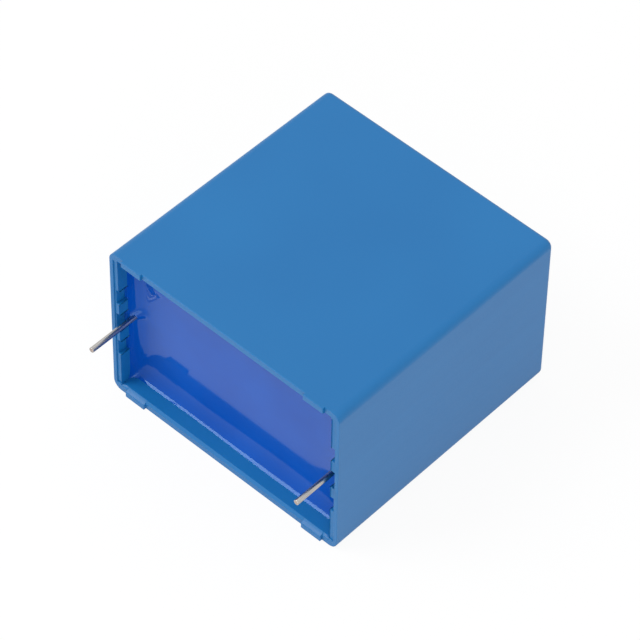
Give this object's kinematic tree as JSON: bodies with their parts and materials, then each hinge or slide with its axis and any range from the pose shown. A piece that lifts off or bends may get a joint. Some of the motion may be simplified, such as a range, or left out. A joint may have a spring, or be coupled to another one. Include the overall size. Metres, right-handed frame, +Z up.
{
  "type": "box film capacitor",
  "caption": "Box film capacitor: moulded plastic case with stand-off feet and guide ribs, potted with resin round a flat film winding, with straight tinned wire leads.",
  "frame": {"origin": "on the surface that the part lies on, under the centre of its bounding box", "axes": "+Z up, away from the large side that it lies on; +X from the left lead to the right lead; +Y from the open side with the leads to the closed end"},
  "size_m": [0.0414, 0.0478, 0.0275],
  "materials": {
    "case_plastic": "satin moulded, blue",
    "resin": "glossy as cast, saturated blue",
    "metallised_film": "silvery, wound smooth",
    "sprayed_metal": "matt, granular as sprayed",
    "tinned_wire": "smooth tinned"
  },
  "bodies": {
    "root": {"case": "case_plastic", "potting_resin": "resin", "film_winding": "metallised_film", "end_contact_left": "sprayed_metal", "end_contact_right": "sprayed_metal", "lead_left": "tinned_wire", "lead_right": "tinned_wire"}
  },
  "joints": []
}
